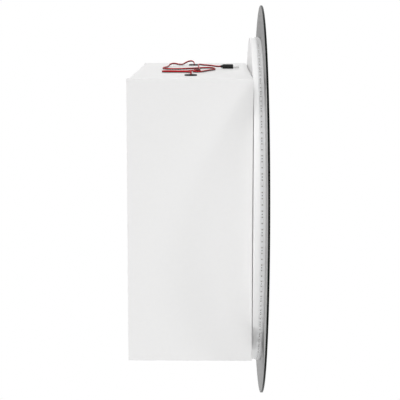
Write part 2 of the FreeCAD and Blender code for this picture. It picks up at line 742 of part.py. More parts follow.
# Route of the lead from the right grommet to the splice
BRANCH_ROUTE = [
    (130, -87.5, 3.8), (132, -85.9, 6.4), (136, -82, 7.2), (136.5, -77, 6.2),
    (131, -71.5, 3.6), (120, -68, 1.8), (110, -62.5, 2.6), (104.5, -54.5, 5.0),
    (95, -48.5, 4.0), (79, -47, 1.8), (60, -45.5, 1.6), (43, -41.5, 1.6),
    (28, -39.5, 1.6), (15, -41, 1.6), (5.5, -46.5, 1.6), (1.5, -56, 1.6),
    (4, -67, 1.6), (10.5, -77, 1.6), (19, -86.5, 1.6), (27, -96, 1.6),
    (35, -104, 1.6), (37.5, -112.5, 1.6), (31, -119, 1.6), (19, -121.5, 1.6),
    (4, -122.5, 1.6), (-10, -121, 1.6), (-21.5, -116.8, 1.6), (-33, -111, 1.6),
    (-46, -107.5, 1.6), (-57.5, -104, 1.6), (-65.5, -98.5, 1.6), (-66, -91.5, 1.6),
    (-60.5, -88.7, 2), (-54.2, -90.25, 2.4),
]
SPLICE_END = (-49.1, -93.5, 2.4)


def above_top(route):
    """Points given over the top board, moved to the part's own frame."""
    return [(x * stretch_x, y * stretch_y, top_z + height) for x, y, height in route]


left_exit = (-grommet_x, grommet_y, exit_z)
right_exit = (grommet_x, grommet_y, exit_z)
lead("plug_lead", [left_exit] + above_top(PLUG_ROUTE + [PLUG_END]))
lead("branch_lead", [right_exit] + above_top(BRANCH_ROUTE + [SPLICE_END]))

# Heat-shrink sleeve over the splice of the two leads
sleeve = doc.addObject("Part::Feature", "splice_sleeve")
splice_from = FreeCAD.Vector(*above_top(PLUG_ROUTE)[16])
splice_to = FreeCAD.Vector(*above_top(PLUG_ROUTE)[17])
splice_axis = (splice_to - splice_from).normalize()
splice_across = splice_axis.cross(DIRECTIONS["+z"]).normalize()
half_gap = (size("sleeve_width") - size("sleeve_height")) / 2
sleeve_start = FreeCAD.Vector(*above_top([SPLICE_END])[0])
sleeve_radius = size("sleeve_height") / 2


def sleeve_point(side, lift):
    """A point of the sleeve's oval section, across from the branch lead's end."""
    middle = sleeve_start - splice_across * half_gap
    up = splice_across.cross(splice_axis).normalize()
    return middle + splice_across * side + up * lift


def sleeve_end(side):
    """The round end of the oval section on one side, from one flat face to the other."""
    turn = math.copysign(sleeve_radius, side)
    return Part.Arc(
        sleeve_point(side, turn), sleeve_point(side + turn, 0), sleeve_point(side, -turn)
    ).toShape()


def sleeve_flat(side):
    """The flat face of the oval section on one side."""
    lift = math.copysign(sleeve_radius, side)
    return Part.LineSegment(sleeve_point(-side, lift), sleeve_point(side, lift)).toShape()


oval = Part.Wire(
    [sleeve_flat(half_gap), sleeve_end(half_gap), sleeve_flat(-half_gap), sleeve_end(-half_gap)]
)
sleeve.Shape = Part.Face(oval).extrude(splice_axis * size("sleeve_length"))
node(sleeve)

# Plug on the end of the lead
PLUG_Y = f"{PLUG_END[1]} * cabinet_depth / {DRAWN_DEPTH}"
PLUG_LINE = (f"{PLUG_END[0]} * cabinet_width / {DRAWN_WIDTH}", PLUG_Y, f"{TOP} + plug_diameter / 2")
node(rod("dc_plug_body", "plug_diameter / 2", PLUG_LINE, "-y", "plug_length"))
BARREL_LINE = (PLUG_LINE[0], f"{PLUG_Y} - plug_length", PLUG_LINE[2])
barrel = rod("dc_plug_barrel_blank", "barrel_diameter / 2", BARREL_LINE, "-y", "barrel_length")
barrel_bore = rod("dc_plug_barrel_bore", "barrel_bore / 2", BARREL_LINE, "-y", "barrel_length")
node(cut("dc_plug_barrel", barrel, [barrel_bore]))

# Connector under the top board, and the leads inside the cabinet
ceiling_z = top_z - size("board")
inner_z = ceiling_z - size("lead_drop")
CONNECTOR_X = f"({SIDE_IN} - connector_inset - connector_length)"
CONNECTOR_Y = f"({FRONT} + connector_setback)"
node(
    box(
        "lead_connector",
        (CONNECTOR_X, CONNECTOR_Y, f"{CEILING} - connector_height"),
        (f"{CONNECTOR_X} + connector_length", f"{CONNECTOR_Y} + connector_width", CEILING),
    )
)
connector_right = size("cabinet_width") / 2 - size("board") - size("connector_inset")
connector_left = connector_right - size("connector_length")
connector_middle = connector_right - size("connector_length") / 2
connector_rear = -size("cabinet_depth") + size("connector_setback") + size("connector_width")
connector_line = connector_rear - size("connector_width") / 2
bend_z = inner_z + size("lead_bend")

# Turn of an inner lead out of its grommet: along X, along Y and up
INNER_TURN = (3, -0.2, 0.6)
# Route of the left inner lead under the top board: X and Y
LEFT_INNER_ROUTE = [
    (-118, -89.5), (-97, -95), (-62, -105), (-22, -114.5), (20, -119.5), (58, -120.5), (95, -119.5),
]
CONNECTOR_RUN = 19
left_run = [(x * stretch_x, y * stretch_y) for x, y in LEFT_INNER_ROUTE]
left_inner = [
    left_exit,
    (-grommet_x, grommet_y, bend_z),
    (-grommet_x + INNER_TURN[0], grommet_y + INNER_TURN[1], inner_z + INNER_TURN[2]),
]
left_inner += [(x, y, inner_z) for x, y in left_run]
left_inner += [
    (connector_left - CONNECTOR_RUN, connector_line, inner_z),
    (connector_left, connector_line, inner_z),
]
lead("left_inner_lead", left_inner)

# Route of the right inner lead under the top board: X and Y from its end in the connector
RIGHT_INNER_ROUTE = [(-10.5, 24), (-2.7, 18), (0, 9), (0, 0)]
right_inner = [
    right_exit,
    (grommet_x, grommet_y, bend_z),
    (grommet_x + INNER_TURN[0], grommet_y + INNER_TURN[1], inner_z + INNER_TURN[2]),
]
right_inner += [(connector_middle + x, connector_rear + y, inner_z) for x, y in RIGHT_INNER_ROUTE]
lead("right_inner_lead", right_inner)

# Lead from the connector to the rim of the door, with slack for the swing
rim_out = FreeCAD.Vector(math.cos(feed_angle), 0, math.sin(feed_angle))
rim_middle = FreeCAD.Vector(0, 0, middle_z())
strip_line = -size("cabinet_depth") - size("door_gap") - size("door_thickness")
strip_line += size("strip_margin") + size("strip_width") / 2
rim_seat = rim_middle + rim_out * (size("door_diameter") / 2 + size("lead_play"))
rim_end = (rim_seat.x, strip_line, rim_seat.z)
rim_outer = rim_seat + rim_out * size("lead_rim_reach")
rim_approach = (rim_outer.x, strip_line, rim_outer.z)
# Route of the door lead to the corner of the cabinet: X and Y from the inner corner, and height over
# its start
DOOR_LEAD_ROUTE = [
    (-11, 50, 0.2), (-11, 41, 0.5), (-20, 34, 0.5), (-30, 28, 0.6),
    (-33, 19, 0.8), (-26, 11.5, 1), (-16, 8, 1.4), (-8, 2, 2), (-4, -5, 2.6),
]
DOOR_LEAD_START = 7
corner_x = size("cabinet_width") / 2 - size("board")
corner_y = -size("cabinet_depth")
door_lead = [
    (connector_right, connector_line, inner_z),
    (connector_right + DOOR_LEAD_START, connector_line, inner_z),
]
for x, y, lift in DOOR_LEAD_ROUTE:
    inside = stretch_y if y > 0 else 1
    door_lead.append((corner_x + x, corner_y + y * inside, inner_z + lift))
door_lead += [rim_approach, rim_end]
lead("door_lead", door_lead)

# Adhesive clips that hold the left inner lead under the top board
clips = []
for name, first, second in (("left", 1, 2), ("middle", 3, 4), ("right", 5, 6)):
    ahead = left_run[first]
    behind = left_run[second]
    clip_x = (ahead[0] + behind[0]) / 2
    clip_y = (ahead[1] + behind[1]) / 2
    block = Part.makeBox(
        size("clip_length"),
        size("clip_width"),
        size("clip_height"),
        FreeCAD.Vector(
            clip_x - size("clip_length") / 2,
            clip_y - size("clip_width") / 2,
            ceiling_z - size("clip_height"),
        ),
    )
    run = FreeCAD.Vector(behind[0] - ahead[0], behind[1] - ahead[1], 0)
    channel = Part.makeCylinder(
        size("lead_width") / 2 + size("lead_play"), run.Length, FreeCAD.Vector(*ahead, inner_z), run
    )
    clips.append(block.cut(channel))
lead_clips = doc.addObject("Part::Feature", "lead_clips")
lead_clips.Shape = Part.makeCompound(clips)
node(lead_clips)

doc.recompute()
for item in doc.Objects:
    if "Invalid" in item.State or "Error" in item.State:
        raise RuntimeError(f"{item.Label} failed to build: {item.State}")
for item in nodes:
    if item.Shape.isNull() or not item.Shape.isValid():
        raise RuntimeError(f"{item.Label} has no valid shape")

os.makedirs("parts", exist_ok=True)
for item in nodes:
    item.Shape.exportStep(f"parts/{item.Label}.step")
print(f"{len(nodes)} pieces, {sum(len(item.Shape.Solids) for item in nodes)} solids")
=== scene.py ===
"""Looks of the round lighted mirror cabinet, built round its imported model."""
import json
import math

import bmesh
import bpy
from mathutils import Matrix, Vector


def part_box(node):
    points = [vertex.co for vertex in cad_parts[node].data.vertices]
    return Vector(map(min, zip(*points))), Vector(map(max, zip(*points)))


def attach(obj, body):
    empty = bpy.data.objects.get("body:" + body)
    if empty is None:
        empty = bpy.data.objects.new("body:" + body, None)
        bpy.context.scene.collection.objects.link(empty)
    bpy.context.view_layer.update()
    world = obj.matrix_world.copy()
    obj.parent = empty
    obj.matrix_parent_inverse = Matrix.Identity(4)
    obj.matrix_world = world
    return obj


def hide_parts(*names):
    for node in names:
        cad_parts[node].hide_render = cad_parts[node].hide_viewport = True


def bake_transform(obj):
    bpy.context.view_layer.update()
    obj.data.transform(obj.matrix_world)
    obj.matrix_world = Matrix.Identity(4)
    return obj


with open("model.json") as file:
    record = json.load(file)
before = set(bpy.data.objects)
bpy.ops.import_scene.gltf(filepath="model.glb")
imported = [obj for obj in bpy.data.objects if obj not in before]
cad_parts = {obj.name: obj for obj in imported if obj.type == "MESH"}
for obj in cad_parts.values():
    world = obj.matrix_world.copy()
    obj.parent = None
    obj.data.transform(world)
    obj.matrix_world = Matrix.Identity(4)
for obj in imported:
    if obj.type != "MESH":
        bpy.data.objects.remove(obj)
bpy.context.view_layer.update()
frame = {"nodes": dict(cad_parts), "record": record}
NODES = frame["nodes"]
SLOT = {part["node"]: part["material_slot"] for part in frame["record"]["subparts"]}
BODY = {
    node: body for body, members in frame["record"]["behaviour"]["bodies"].items() for node in members
}

# Places taken from the frame, in metres
TOP_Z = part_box("left_side_panel")[1][2]
BOTTOM_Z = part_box("left_side_panel")[0][2]
MIDDLE_Z = (TOP_Z + BOTTOM_Z) / 2
DOOR_LOW, DOOR_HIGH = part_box("door_edge_band")
DOOR_FRONT = DOOR_LOW[1]
DOOR_BACK = DOOR_HIGH[1]
MIRROR_LOW, MIRROR_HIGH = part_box("mirror_glass")
MM = 0.001
FORWARD = (0, -1, 0)
UPWARD = (0, 0, 1)

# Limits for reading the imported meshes
WELD = 0.001 * MM
SAME_PLANE = 0.02 * MM
ROUND_PLAY = 0.05 * MM
LARGE_FLAT = 12 * MM * MM
FLAT_DEGREES = 0.5
ALIGNED = 0.99
SQUARE = 0.99999

# The part of a noise pattern's range that finishes use, and how far apart their two grains are
RAMP_START, RAMP_STOP = 0.35, 0.65
NOISE_LOW, NOISE_HIGH = 0.3, 0.7
BROAD_GRAIN = 12
GRAIN_HEIGHT = 0.2 * MM

# Hardboard: pattern scales per metre, roughness and relief
FIBRE_SCALE, BLOTCH_SCALE = 420, 30
HARDBOARD_ROUGH = (0.5, 0.75)
HARDBOARD_RELIEF = 0.12
FIBRE_HEIGHT = 0.4 * MM
ROOM_FACING = -0.5


# Materials

def new_material(name):
    """A node material with its shader and a place for its nodes."""
    material = bpy.data.materials.new(name)
    material.use_nodes = True
    shader = material.node_tree.nodes["Principled BSDF"]
    return material, material.node_tree, shader


def noise(tree, scale, detail=3.0, stretch=None):
    """A noise pattern in object space, at a scale per metre."""
    coordinates = tree.nodes.new("ShaderNodeTexCoord")
    texture = tree.nodes.new("ShaderNodeTexNoise")
    texture.inputs["Scale"].default_value = scale
    texture.inputs["Detail"].default_value = detail
    source = coordinates.outputs["Object"]
    if stretch:
        mapping = tree.nodes.new("ShaderNodeMapping")
        mapping.inputs["Scale"].default_value = stretch
        tree.links.new(source, mapping.inputs["Vector"])
        source = mapping.outputs["Vector"]
    tree.links.new(source, texture.inputs["Vector"])
    return texture.outputs["Fac"]


def ramp(tree, source, low, high):
    """A colour between two colours, following a pattern."""
    colours = tree.nodes.new("ShaderNodeValToRGB")
    colours.color_ramp.elements[0].position = RAMP_START
    colours.color_ramp.elements[0].color = (*low, 1)
    colours.color_ramp.elements[1].position = RAMP_STOP
    colours.color_ramp.elements[1].color = (*high, 1)
    tree.links.new(source, colours.inputs["Fac"])
    return colours.outputs["Color"]


def spread(tree, source, low, high):
    """A number between two limits, following a pattern."""
    mapped = tree.nodes.new("ShaderNodeMapRange")
    mapped.inputs["From Min"].default_value = NOISE_LOW
    mapped.inputs["From Max"].default_value = NOISE_HIGH
    mapped.inputs["To Min"].default_value = low
    mapped.inputs["To Max"].default_value = high
    tree.links.new(source, mapped.inputs["Value"])
    return mapped.outputs["Result"]


def bump(tree, shader, source, strength, distance):
    """Fine relief from a pattern."""
    relief = tree.nodes.new("ShaderNodeBump")
    relief.inputs["Strength"].default_value = strength
    relief.inputs["Distance"].default_value = distance
    tree.links.new(source, relief.inputs["Height"])
    tree.links.new(relief.outputs["Normal"], shader.inputs["Normal"])


def plain_finish(name, low, high, rough, grain, relief, metallic=0.0, stretch=None, specular=0.5):
    """A finish that varies a little in colour and roughness, with a fine relief of one grain scale."""
    material, tree, shader = new_material(name)
    broad = noise(tree, grain / BROAD_GRAIN, 4.0, stretch)
    fine = noise(tree, grain, 3.0, stretch)
    tree.links.new(ramp(tree, broad, low, high), shader.inputs["Base Color"])
    tree.links.new(spread(tree, fine, *rough), shader.inputs["Roughness"])
    shader.inputs["Metallic"].default_value = metallic
    shader.inputs["Specular IOR Level"].default_value = specular
    bump(tree, shader, fine, relief, GRAIN_HEIGHT)
    return material


def facing_finish(name, front, back):
    """One finish on the faces towards the room and another on the faces towards the wall."""
    material, tree, shader = new_material(name)
    geometry = tree.nodes.new("ShaderNodeNewGeometry")
    parts = tree.nodes.new("ShaderNodeSeparateXYZ")
    tree.links.new(geometry.outputs["Normal"], parts.inputs["Vector"])
    towards_room = tree.nodes.new("ShaderNodeMath")
    towards_room.operation = "LESS_THAN"
    towards_room.inputs[1].default_value = ROOM_FACING
    tree.links.new(parts.outputs["Y"], towards_room.inputs[0])
    fibres = noise(tree, FIBRE_SCALE, 6.0)
    blotches = noise(tree, BLOTCH_SCALE, 5.0)
    room_colour = ramp(tree, blotches, *front)
    wall_colour = ramp(tree, fibres, *back)
    chosen = tree.nodes.new("ShaderNodeMix")
    chosen.data_type = "RGBA"
    tree.links.new(towards_room.outputs["Value"], chosen.inputs["Factor"])
    tree.links.new(wall_colour, chosen.inputs["A"])
    tree.links.new(room_colour, chosen.inputs["B"])
    tree.links.new(chosen.outputs["Result"], shader.inputs["Base Color"])
    tree.links.new(spread(tree, fibres, *HARDBOARD_ROUGH), shader.inputs["Roughness"])
    bump(tree, shader, fibres, HARDBOARD_RELIEF, FIBRE_HEIGHT)
    return material


def grey(value, warm=0.0):
    """A near-neutral colour, a little warm or cool."""
    return (value + warm, value, value - warm)


FINISH = {
    "white_laminate": plain_finish(
        "white_laminate", grey(0.797, 0.002), grey(0.804, 0.002), (0.39, 0.43), 2600, 0.03
    ),
    "white_edge_band": plain_finish(
        "white_edge_band", grey(0.875, 0.001), grey(0.885, 0.001), (0.33, 0.38), 1800, 0.03
    ),
    "white_hardboard": facing_finish(
        "white_hardboard",
        (grey(0.82, 0.003), grey(0.85, 0.003)),
        ((0.33, 0.2, 0.11), (0.5, 0.33, 0.2)),
    ),
    "beech": plain_finish("beech", (0.55, 0.36, 0.19), (0.7, 0.5, 0.3), (0.5, 0.7), 900, 0.2),
    "steel": plain_finish(
        "steel", grey(0.58, -0.006), grey(0.72, -0.006), (0.22, 0.38), 2200, 0.08, 1.0, (1, 1, 0.05)
    ),
    "zinc": plain_finish("zinc", grey(0.42, -0.004), grey(0.56, -0.004), (0.35, 0.55), 1800, 0.15, 1.0),
    "ferrite": plain_finish("ferrite", grey(0.035), grey(0.06), (0.4, 0.6), 1400, 0.15),
    "white_plastic": plain_finish(
        "white_plastic", grey(0.8, 0.004), grey(0.84, 0.004), (0.42, 0.55), 1800, 0.1
    ),
    "black_rubber": plain_finish(
        "black_rubber", grey(0.02), grey(0.03), (0.7, 0.85), 2400, 0.12, specular=0.02
    ),
    "black_plastic": plain_finish(
        "black_plastic", grey(0.008), grey(0.016), (0.32, 0.48), 2000, 0.08, specular=0.2
    ),
    "nickel": plain_finish(
        "nickel", grey(0.82, 0.006), grey(0.88, 0.006), (0.14, 0.24), 2600, 0.04, 1.0, (1, 0.05, 1)
    ),
    "foam_tape": plain_finish(
        "foam_tape", grey(0.66, 0.004), grey(0.74, 0.004), (0.75, 0.92), 2200, 0.5
    ),
    "led_board": plain_finish(
        "led_board", grey(0.83, -0.006), grey(0.87, -0.006), (0.35, 0.48), 1500, 0.05, 0.92
    ),
    "led_package": plain_finish(
        "led_package", grey(0.8, 0.002), grey(0.84, 0.002), (0.35, 0.48), 3000, 0.04, 0.65
    ),
    "resistor": plain_finish("resistor", grey(0.09), grey(0.13), (0.35, 0.5), 3000, 0.05),
    "clear_bumper": plain_finish("clear_bumper", grey(0.72), grey(0.8), (0.2, 0.3), 1200, 0.05),
}
RED = plain_finish(
    "red_insulation", (0.4, 0.004, 0.008), (0.48, 0.008, 0.012), (0.34, 0.46), 1500, 0.05, specular=0.3
)
BLACK = plain_finish(
    "black_insulation", grey(0.01), grey(0.016), (0.34, 0.46), 1500, 0.05, specular=0.3
)
FINISH["red_black_lead"] = RED
SHRINK = plain_finish(
    "heat_shrink", (0.05, 0.006, 0.007), (0.08, 0.01, 0.011), (0.4, 0.52), 1500, 0.08
)
PHOSPHOR = plain_finish(
    "led_phosphor", (0.3, 0.294, 0.272), (0.35, 0.343, 0.315), (0.4, 0.55), 4000, 0.1, 0.9
)
TINNED = plain_finish(
    "tinned_pad", grey(0.78, 0.004), grey(0.82, 0.004), (0.4, 0.5), 3000, 0.08, 0.9
)
MIRROR_BACK = plain_finish(
    "mirror_back_paint", grey(0.39), grey(0.42), (0.5, 0.6), 1500, 0.02, specular=0.0
)
GLASS_EDGE = plain_finish(
    "mirror_glass_edge", (0.003, 0.004, 0.0038), (0.005, 0.007, 0.0065), (0.25, 0.35), 700, 0.02,
    specular=0.04,
)
SILVER = plain_finish(
    "mirror_silver", (0.79, 0.815, 0.812), (0.81, 0.835, 0.832), (0.006, 0.012), 24, 0.0, 1.0
)
FINISH["mirror"] = SILVER

for node_name, node_object in NODES.items():
    for slot in node_object.material_slots:
        slot.material = FINISH[SLOT[node_name]]


# Mesh helpers

CROSS_TAPER = 0.72
RIB_DEPTH = 0.3 * MM
RIB_STEPS = 4
ROUND_STEPS = 64


def add_piece(name, mesh, body, materials, stands_for=None):
    """Put a mesh in the scene as a piece that rides on a body and stands for a node."""
    for material in materials:
        mesh.materials.append(material)
    piece = bpy.data.objects.new(name, mesh)
    bpy.context.collection.objects.link(piece)
    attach(piece, body)
    if stands_for:
        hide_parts(*stands_for)
    return piece


def add_for_node(name, mesh, node):
    """Put a mesh in the scene in place of one node, with that node's body and finish."""
    return add_piece(name, mesh, BODY[node], [FINISH[SLOT[node]]], [node])


def finish_mesh(shape, name, sharp_degrees=35):
    """Turn a bmesh into a mesh that is smooth up to a sharp angle and flat on its large flats."""
    bmesh.ops.recalc_face_normals(shape, faces=shape.faces)
    mesh = bpy.data.meshes.new(name)
    shape.to_mesh(mesh)
    shape.free()
    mesh.shade_smooth()
    mesh.set_sharp_from_angle(angle=math.radians(sharp_degrees))
    for polygon in mesh.polygons:
        square = max(abs(part) for part in polygon.normal) > SQUARE
        polygon.use_smooth = not (square and polygon.area > LARGE_FLAT)
    return mesh


def node_shape(node):
    """A node's surface as a bmesh, with its flat faces in one piece each."""
    shape = bmesh.new()
    shape.from_mesh(NODES[node].data)
    bmesh.ops.remove_doubles(shape, verts=shape.verts, dist=WELD)
    bmesh.ops.dissolve_limit(
        shape, angle_limit=math.radians(FLAT_DEGREES), verts=shape.verts, edges=shape.edges
    )
    return shape


def shells(shape):
    """The separate bodies in a bmesh, each as its set of vertices."""
    left = set(shape.verts)
    found = []
    while left:
        first = left.pop()
        body = {first}
        stack = [first]
        while stack:
            for edge in stack.pop().link_edges:
                for vertex in edge.verts:
                    if vertex not in body:
                        body.add(vertex)
                        stack.append(vertex)
        left -= body
        found.append(body)
    return found


def corners_of(body):
    """Lowest and highest corner of a set of vertices."""
    low = Vector([min(vertex.co[i] for vertex in body) for i in range(3)])
    high = Vector([max(vertex.co[i] for vertex in body) for i in range(3)])
    return low, high


def shell_boxes(node):
    """Lowest and highest corner of each separate body of a node."""
    shape = node_shape(node)
    boxes = [corners_of(body) for body in shells(shape)]
    shape.free()
    return sorted(boxes, key=lambda corners: tuple(corners[0]))


def on_outer_edge(place, low, high):
    """Whether a place lies on two or more sides of a box."""
    gaps = [min(abs(place[i] - low[i]), abs(place[i] - high[i])) for i in range(3)]
    return sum(gap < SAME_PLANE for gap in gaps) >= 2


def eased_piece(node, ease):
    """A piece as its node has it, with the outer edges of its bodies eased."""
    shape = node_shape(node)
    outer = []
    for body in shells(shape):
        low, high = corners_of(body)
        for edge in {edge for vertex in body for edge in vertex.link_edges}:
            if on_outer_edge((edge.verts[0].co + edge.verts[1].co) / 2, low, high):
                outer.append(edge)
    shape.edges.index_update()
    outer.sort(key=lambda edge: edge.index)
    bmesh.ops.bevel(
        shape, geom=outer, offset=ease, segments=2, profile=0.5, affect="EDGES", clamp_overlap=True
    )
    mesh = finish_mesh(shape, node + "_eased", 40)
    return add_for_node(node + "_eased", mesh, node)


def cross_outline(arm, half_width):
    """Corner points of a plus sign, going round."""
    points = []
    for quarter in range(4):
        turn = Matrix.Rotation(math.pi / 2 * quarter, 2)
        for corner in ((arm, -half_width), (arm, half_width), (half_width, half_width)):
            points.append(turn @ Vector(corner))
    return points


def crossed_piece(node, wanted, arm, half_width, depth):
    """A piece as its node has it, with a cross recess in each round face that is wanted."""
    shape = node_shape(node)
    outline = cross_outline(arm, half_width)
    corners = len(outline)
    for face in [face for face in shape.faces if len(face.verts) >= corners]:
        centre = face.calc_center_bounds()
        reach = [(vertex.co - centre).length for vertex in face.verts]
        is_round = max(reach) - min(reach) <= ROUND_PLAY and min(reach) >= arm
        if not is_round or not wanted(face.normal, centre):
            continue
        normal = face.normal.copy()
        side = normal.orthogonal().normalized()
        other = normal.cross(side)
        rim = list(face.edges)
        shape.faces.remove(face)
        loops = []
        for sink, share in ((0, 1), (depth, CROSS_TAPER)):
            loops.append([
                shape.verts.new(centre - normal * sink + (side * point.x + other * point.y) * share)
                for point in outline
            ])
        mouth = []
        for index in range(corners):
            after = (index + 1) % corners
            shape.faces.new([loops[0][after], loops[0][index], loops[1][index], loops[1][after]])
            mouth.append(shape.edges.get((loops[0][index], loops[0][after])))
        shape.faces.new(loops[1])
        bmesh.ops.bridge_loops(shape, edges=rim + mouth)
    mesh = finish_mesh(shape, node + "_crossed", 30)
    return add_for_node(node + "_crossed", mesh, node)


def scaled(profile):
    """A profile in metres, from one in millimetres."""
    return [(radius * MM, along * MM) for radius, along in profile]


def skin(shape, rings, materials=None):
    """Faces between rings of equally many points, with a material for each band."""
    for band, (first, second) in enumerate(zip(rings, rings[1:])):
        for index in range(len(first)):
            after = (index + 1) % len(first)
            face = shape.faces.new([first[index], first[after], second[after], second[index]])
            face.material_index = materials[band] if materials else 0


def turned(name, profile, centre, axis, steps, bands=None, ribs=()):
    """A closed turned solid as a mesh of its own."""
    shape = bmesh.new()
    turned_into(shape, profile, centre, axis, steps, bands, ribs)
    return finish_mesh(shape, name)


def turned_into(shape, profile, centre, axis, steps, bands=None, ribs=()):
    """Add a turned solid to a bmesh.

    Profile points are radius and distance along the axis, and the ends lie on the axis. At the profile
    points in ribs the surface has lengthwise ribs.
    """
    axis = Vector(axis).normalized()
    side = axis.orthogonal().normalized()
    other = axis.cross(side)
    centre = Vector(centre)
    rings = []
    for point, (radius, along) in enumerate(profile):
        middle = centre + axis * along
        if radius == 0:
            rings.append([shape.verts.new(middle)])
            continue
        ring = []
        for index in range(steps):
            angle = 2 * math.pi * index / steps
            out = side * math.cos(angle) + other * math.sin(angle)
            in_groove = point in ribs and index % RIB_STEPS >= RIB_STEPS / 2
            ring.append(shape.verts.new(middle + out * (radius - RIB_DEPTH * in_groove)))
        rings.append(ring)
    for band, (first, second) in enumerate(zip(rings, rings[1:])):
        material = bands[band] if bands else 0
        for index in range(steps):
            after = (index + 1) % steps
            if len(first) == 1:
                corners = [first[0], second[after], second[index]]
            elif len(second) == 1:
                corners = [first[index], first[after], second[0]]
            else:
                corners = [first[index], first[after], second[after], second[index]]
            shape.faces.new(corners).material_index = material


def ring_solid(name, profile, centre, axis, steps, bands=None):
    """A closed turned ring: the profile is a closed loop of radius and distance along the axis."""
    shape = bmesh.new()
    axis = Vector(axis).normalized()
    side = axis.orthogonal().normalized()
    other = axis.cross(side)
    centre = Vector(centre)
    rings = []
    for index in range(steps):
        angle = 2 * math.pi * index / steps
        out = side * math.cos(angle) + other * math.sin(angle)
        rings.append([
            shape.verts.new(centre + axis * along + out * radius) for radius, along in profile
        ])
    count = len(profile)
    for index in range(steps):
        here = rings[index]
        there = rings[(index + 1) % steps]
        for point in range(count):
            after = (point + 1) % count
            face = shape.faces.new([here[point], here[after], there[after], there[point]])
            face.material_index = bands[point] if bands else 0
    return finish_mesh(shape, name)


# Boards

BOARD_EASE = 0.3 * MM
for board in (
    "left_side_panel", "right_side_panel", "top_panel", "bottom_panel", "shelf", "hanging_rail",
):
    eased_piece(board, BOARD_EASE)

# Fittings: screws, cams, pins, catch, clips and bumpers

HEAD_FACING = {
    "cabinet_leaf_screws": Vector((0, -1, 0)),
    "door_leaf_screws": Vector((0, 1, 0)),
    "catch_screws": Vector((1, 0, 0)),
    "strike_screw": Vector((0, 1, 0)),
}
# Cross recesses: reach of an arm, half its width, and depth
SCREW_CROSS = (1.55 * MM, 0.36 * MM, 1.3 * MM)
CAM_CROSS = (4.3 * MM, 0.85 * MM, 2.6 * MM)
for screws, facing in HEAD_FACING.items():
    crossed_piece(screws, lambda normal, centre: normal.dot(facing) > ALIGNED, *SCREW_CROSS)
crossed_piece(
    "cam_locks",
    lambda normal, centre: abs(normal.z) > ALIGNED and normal.z * (MIDDLE_Z - centre.z) > 0,
    *CAM_CROSS,
)
FITTING_EASE = {
    "catch_housing": 0.6 * MM,
    "catch_magnet": 0.3 * MM,
    "strike_plate": 0.25 * MM,
    "lead_clips": 0.7 * MM,
    "upper_cabinet_leaf": 0.2 * MM,
    "lower_cabinet_leaf": 0.2 * MM,
    "upper_door_leaf": 0.2 * MM,
    "lower_door_leaf": 0.2 * MM,
}
for fitting, ease in FITTING_EASE.items():
    eased_piece(fitting, ease)

# Shelf pins: radius of the collar and length that shows, millimetres
PIN_COLLAR = 3.4
PIN_REACH = 9
PIN_STEPS = 40
pin_shape = bmesh.new()
for low, high in shell_boxes("shelf_pins"):
    radius = (high.z - low.z) / 2 / MM
    length = (high.x - low.x) / MM
    inwards = 1 if low.x < 0 else -1
    buried = length - PIN_REACH
    pin_profile = [
        (0, 0), (radius - 0.5, 0), (radius, 0.5), (radius, buried), (PIN_COLLAR, buried),
        (PIN_COLLAR, buried + 0.5), (PIN_COLLAR - 0.3, buried + 0.8), (radius, buried + 0.8),
        (radius, length - 0.9), (radius - 0.3, length - 0.25), (radius - 0.9, length), (0, length),
    ]
    pin_start = (low.x if inwards > 0 else high.x, (low.y + high.y) / 2, (low.z + high.z) / 2)
    turned_into(pin_shape, scaled(pin_profile), pin_start, (inwards, 0, 0), PIN_STEPS)
pin_mesh = finish_mesh(pin_shape, "collared_shelf_pins")
add_for_node("collared_shelf_pins", pin_mesh, "shelf_pins")

# Bumpers: a low dome, as shares of its radius and height
BUMPER_DOME = ((0, 0), (1, 0), (1, 0.25), (0.93, 0.58), (0.75, 0.84), (0.45, 0.97), (0, 1))
BUMPER_STEPS = 48
bumper_shape = bmesh.new()
for low, high in shell_boxes("door_bumpers"):
    radius = (high.x - low.x) / 2
    height = high.y - low.y
    dome = [(radius * across, height * along) for across, along in BUMPER_DOME]
    bumper_seat = ((low.x + high.x) / 2, high.y, (low.z + high.z) / 2)
    turned_into(bumper_shape, dome, bumper_seat, FORWARD, BUMPER_STEPS)
bumper_mesh = finish_mesh(bumper_shape, "domed_bumpers", 50)
add_for_node("domed_bumpers", bumper_mesh, "door_bumpers")

# Connector: socket and plug halves with a latch and grip ribs
connector_low, connector_high = (Vector(corner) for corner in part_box("lead_connector"))
connector_shape = bmesh.new()
# Each block: low and high corner as shares of the connector's box, and the rounding of its edges
CONNECTOR_BLOCKS = [
    ((0, 0, 0.06), (0.55, 1, 1), 0.5 * MM),
    ((0.56, 0.08, 0.12), (1, 0.92, 0.94), 0.5 * MM),
    ((0.3, 0.36, 0), (0.86, 0.64, 0.1), 0.25 * MM),
    ((0.8, 0.3, 0), (0.86, 0.7, 0.16), 0.2 * MM),
    ((0.06, 0.14, 0.03), (0.095, 0.86, 0.1), 0.12 * MM),
    ((0.13, 0.14, 0.03), (0.165, 0.86, 0.1), 0.12 * MM),
    ((0.2, 0.14, 0.03), (0.235, 0.86, 0.1), 0.12 * MM),
]


